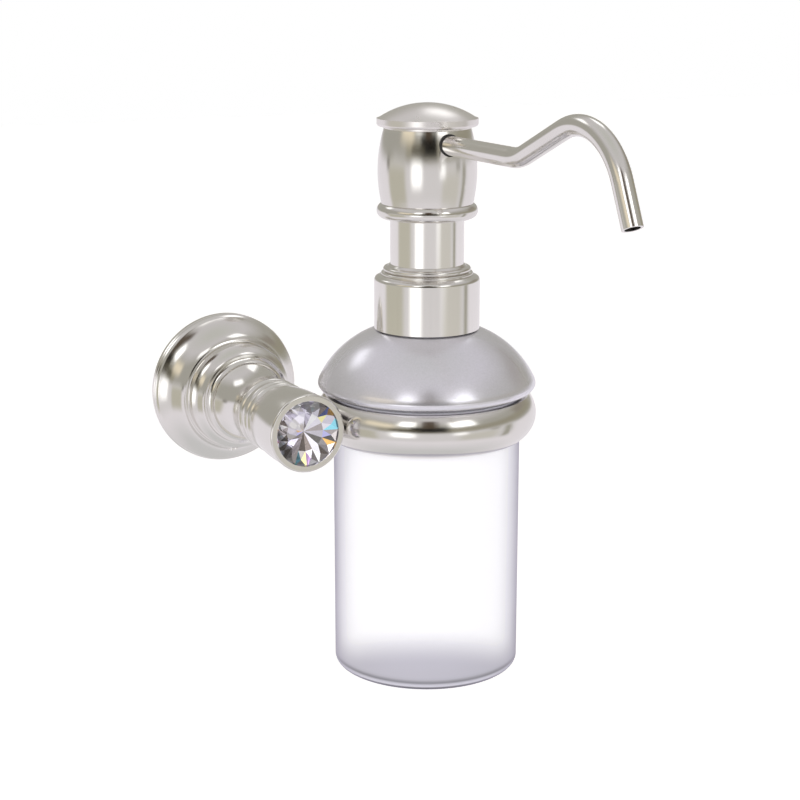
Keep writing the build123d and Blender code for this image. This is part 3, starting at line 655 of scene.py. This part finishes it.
# %% Swing the profile round the axis
def lathe(outline, around):
    """Surface of revolution: point (r, z) goes to (r cos t, r sin t, z); the poles close in fans."""
    turn = np.arange(around) * 2 * pi / around
    ring_part = outline[1:-1]
    grid = np.stack((
        ring_part[:, None, 0] * np.cos(turn), ring_part[:, None, 0] * np.sin(turn),
        np.repeat(ring_part[:, None, 1], around, axis=1)), axis=-1)
    points = np.concatenate((((0, 0, outline[0, 1]),), grid.reshape(-1, 3), ((0, 0, outline[-1, 1]),)))
    rows, cols = np.meshgrid(np.arange(len(ring_part) - 1), np.arange(around), indexing="ij")
    after = (cols + 1) % around
    a, b = 1 + rows * around + cols, 1 + rows * around + after
    quads = np.stack((a, b, b + around, a + around), axis=-1).reshape(-1, 4)
    ring, next_one = np.arange(around), (np.arange(around) + 1) % around
    bottom = np.stack((np.zeros(around, int), 1 + next_one, 1 + ring), axis=1)
    last = 1 + (len(ring_part) - 1) * around
    top = np.stack((last + ring, last + next_one, np.full(around, len(points) - 1)), axis=1)
    return points, [*bottom, *quads, *top]


AROUND = 160
points, faces = lathe(profile * MM, AROUND)
points[:, 0] += bottle_x
points[:, 1] += bottle_y
middle = np.array([points[list(f)][:, 2].mean() for f in faces])
outside = np.array([np.hypot(*(points[list(f)][:, :2] - (bottle_x, bottle_y)).mean(axis=0)) for f in faces])
is_shoulder = (middle > shoulder_low + 0.2 * MM) & (outside > (NECK + 0.1) * MM)
glass = mesh_object("glass_bottle", points, faces, (frosted, shoulder), smooth=True,
                    face_material=is_shoulder.astype(int))
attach(glass, "bottle")
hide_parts("bottle")
print("shoulder faces", int(is_shoulder.sum()))

# %% [markdown]
# ## The cut crystal
# The stone in the end of the post is cut like a brilliant: a table in front, a ring of crown facets, a thin
# girdle, and a pavilion behind. The pavilion has a star of long facets that meet in a point, and round it a
# belt of kites and triangles turned half a step. A small shift per corner keeps the mirrored patches from
# repeating exactly, as they never do on a real stone. All faces are flat. The stone is foil backed: its
# back facets are silvered, so light that comes in through the table is thrown back out of it.


# %% Corners of the crystal
def circle_points(radius, depth, count, turn=0.0):
    """Corners on a circle about the post: (r sin t, y, r cos t), t in even steps from a start turn."""
    angle = (np.arange(count) + turn) * 2 * pi / count
    return np.stack((radius * np.sin(angle), np.zeros(count) + depth, radius * np.cos(angle)), axis=1)


SIDES = 16
STAR_SHARE, BELT_SHARE, TABLE_SHARE = 0.56, 0.80, 0.93
stone_radius = (crystal_high.x - crystal_low.x) / 2
front_y = crystal_low.y
noise = np.random.default_rng(7)
shift = noise.uniform(-0.12, 0.12, (3, SIDES)) * MM
table = circle_points(stone_radius * TABLE_SHARE, front_y, SIDES)
crown = circle_points(stone_radius, front_y + 0.5 * MM, SIDES)
girdle = circle_points(stone_radius, front_y + 1.35 * MM, SIDES)
belt = circle_points(stone_radius * BELT_SHARE, front_y + 2.3 * MM + shift[0], SIDES, 0.5)
star = circle_points(stone_radius * STAR_SHARE, front_y + 3.2 * MM + shift[1], SIDES)
point = np.array(((0.0, front_y + 5.2 * MM, 0.0),))
stone_points = np.concatenate((table, crown, girdle, belt, star, point))
print("crystal corners", len(stone_points), "radius mm", round(stone_radius / MM, 2))

# %% Faces of the crystal
corner = np.arange(SIDES)
after, before = (corner + 1) % SIDES, (corner - 1) % SIDES
TABLE, CROWN, GIRDLE, BELT, STAR, POINT = (row * SIDES for row in range(6))
front_faces = [tuple(corner[::-1])]
for row in (TABLE, CROWN):
    corners = (row + corner, row + after, row + SIDES + after, row + SIDES + corner)
    front_faces += [tuple(face) for face in np.stack(corners, axis=1)]
back_faces = []
for corners in ((GIRDLE + corner, GIRDLE + after, BELT + corner),
                (GIRDLE + corner, BELT + corner, STAR + corner),
                (GIRDLE + corner, STAR + corner, BELT + before),
                (BELT + corner, STAR + after, STAR + corner),
                (STAR + corner, STAR + after, np.full(SIDES, POINT))):
    back_faces += [tuple(face) for face in np.stack(corners, axis=1)]
stone_faces = front_faces + back_faces
print("crystal faces", len(stone_faces), "of which silvered", len(back_faces))

# %% [markdown]
# ## Fire
# A stone splits light into colours. Tracing that is slow and noisy, so the split is painted facet by facet:
# a colour attribute carries one tint per face, which colours the silvered facets and makes them glow
# faintly as painted light. Most are white or grey and a few are the brown of the room's dark side, painted
# reflections laid over the mirror's own, and about a third of those on one side hold a pure hue, the painted
# fire.

# %% Painted fire and reflections of the silvered facets
painted_fire_hues = np.array(((0.35, 0.85, 1.0), (1.0, 0.60, 0.20), (0.30, 0.40, 1.0), (0.85, 0.55, 1.0),
                 (1.0, 0.65, 0.80), (1.0, 0.95, 0.45), (0.62, 0.62, 1.0)))
painted_facet_greys = np.array(((1.0, 1.0, 1.0), (0.86, 0.84, 0.90), (0.50, 0.46, 0.46), (0.20, 0.17, 0.16),
                  (0.68, 0.66, 0.73)))
total = len(stone_faces)
# Painted reflections and fire: grey and brown tints darken the real mirror as the room's reflections would,
# and pure hues stand in for dispersed light.
painted_facet_tints = np.ones((total, 4))
painted_facet_tints[:, :3] = painted_facet_greys[noise.choice(len(painted_facet_greys), total, p=(0.22, 0.24, 0.20, 0.14, 0.20))]
centres = np.array([stone_points[list(f)].mean(axis=0) for f in stone_faces])
outward = np.hypot(centres[:, 0], centres[:, 2]) / stone_radius
side = (centres[:, 0] - 0.4 * centres[:, 2]) / stone_radius
chance = np.clip(0.10 + 0.45 * side, 0.04, 0.5) * (outward > 0.5)
hued = noise.uniform(size=total) < chance
painted_facet_tints[hued, :3] = painted_fire_hues[noise.integers(0, len(painted_fire_hues), total)][hued]
painted_facet_tints[:len(front_faces), :3] = 1.0
print("coloured facets", int(hued.sum()))


# %% Crystal finishes
def crystal_finish():
    """Clear glass with a trace of blue, and a faint film of polish marks."""
    material, tree, shader, place = new_material(
        "clear_crystal", Metallic=0.0, Transmission_Weight=1.0, IOR=1.5)
    grain = lay_grain(tree, place, shader, 900.0, 120.0, (0.0, 0.02))
    tint = blend(tree, grain.outputs["Haze"], (0.97, 0.98, 1.0), (1.0, 1.0, 1.0))
    join(tree, tint, shader.inputs["Base Color"])
    return material


def silver_finish(name, crinkle, painted_tint_name=None):
    """Mirror; its colour comes from each facet's painted tint where there is one, which also glows faintly as
    painted light, else from the haze.
    """
    material, tree, shader, place = new_material(name, Metallic=1.0)
    grain = lay_grain(tree, place, shader, 500.0, 200.0, (0.01, 0.05))
    raise_grain(tree, grain, shader, crinkle, 0.0001)
    if painted_tint_name:
        colour = add(tree, "ShaderNodeAttribute", attribute_name=painted_tint_name).outputs["Color"]
        # Painted light: each facet's painted tint also glows faintly through Emission Color.
        join(tree, colour, shader.inputs["Emission Color"])
        shader.inputs["Emission Strength"].default_value = 0.10
    else:
        colour = blend(tree, grain.outputs["Haze"], (0.92, 0.92, 0.92), (0.82, 0.82, 0.84))
    join(tree, colour, shader.inputs["Base Color"])
    return material


stone = mesh_object(
    "cut_crystal", stone_points, stone_faces,
    (crystal_finish(), silver_finish("silvered_facets", 0.01, "tint")),
    face_material=np.arange(total) >= len(front_faces))
painted_tint_layer = stone.data.attributes.new("tint", "FLOAT_COLOR", "FACE")
painted_tint_layer.data.foreach_set("color", painted_facet_tints.astype(np.float32).ravel())
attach(stone, "wall_mount")
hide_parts("crystal")
nodes["crystal_foil"].material_slots[0].material = silver_finish("mirror_foil", 0.3)

# %% [markdown]
# ## The return spring
# The spring stands on the ledge in the pump's cylinder and is pressed shorter when the head goes down, so
# its coil cannot simply ride with one body. It is a round wire run along a helix, and it stays with the
# cylinder.


# %% Coil of the return spring
def coil(centre, bottom, top, wire, turns, across):
    """Tube along a helix: p + (wire / 2) (n cos a + b sin a), with p on the helix, n pointing away from the
    axis and b square to n and to the helix; the two ends close in fans."""
    radius = across / 2 - wire / 2
    t = np.linspace(0, turns * 2 * pi, turns * 40 + 1)
    climb = (top - bottom - wire) / (turns * 2 * pi)
    n = np.stack((np.cos(t), np.sin(t), np.zeros_like(t)), axis=1)
    b = np.stack((climb * np.sin(t), -climb * np.cos(t), np.full_like(t, radius)), axis=1)
    b /= np.hypot(climb, radius)
    axis = np.stack((np.full_like(t, centre[0]), np.full_like(t, centre[1]),
                     bottom + wire / 2 + climb * t), axis=1)
    p = radius * n + axis
    around = 12
    a = np.arange(around) * 2 * pi / around
    round_wire = n[:, None] * np.cos(a)[None, :, None] + b[:, None] * np.sin(a)[None, :, None]
    grid = p[:, None] + wire / 2 * round_wire
    rows, cols = np.meshgrid(np.arange(len(t) - 1), np.arange(around), indexing="ij")
    after = (cols + 1) % around
    quads = np.stack((rows * around + cols, (rows + 1) * around + cols,
                      (rows + 1) * around + after, rows * around + after), axis=-1).reshape(-1, 4)
    points = np.concatenate((grid.reshape(-1, 3), p[:1], p[-1:]))
    rim, next_rim, last = np.arange(around), (np.arange(around) + 1) % around, (len(t) - 1) * around
    start = np.stack((rim, next_rim, np.full(around, len(points) - 2)), axis=1)
    stop = np.stack((last + next_rim, last + rim, np.full(around, len(points) - 1)), axis=1)
    return points, [*quads, *start, *stop]


spring_low, spring_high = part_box("pump_spring")
SPRING_WIRE, SPRING_TURNS, PRESS = 0.8 * MM, 7, 12.0 * MM
coil_points, coil_faces = coil((bottle_x, bottle_y), spring_low.z, spring_high.z, SPRING_WIRE,
                               SPRING_TURNS, spring_high.x - spring_low.x)
spring = mesh_object("return_spring", coil_points, coil_faces, (finishes["spring_steel"],), smooth=True)
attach(spring, "pump")
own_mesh(spring)
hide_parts("pump_spring")
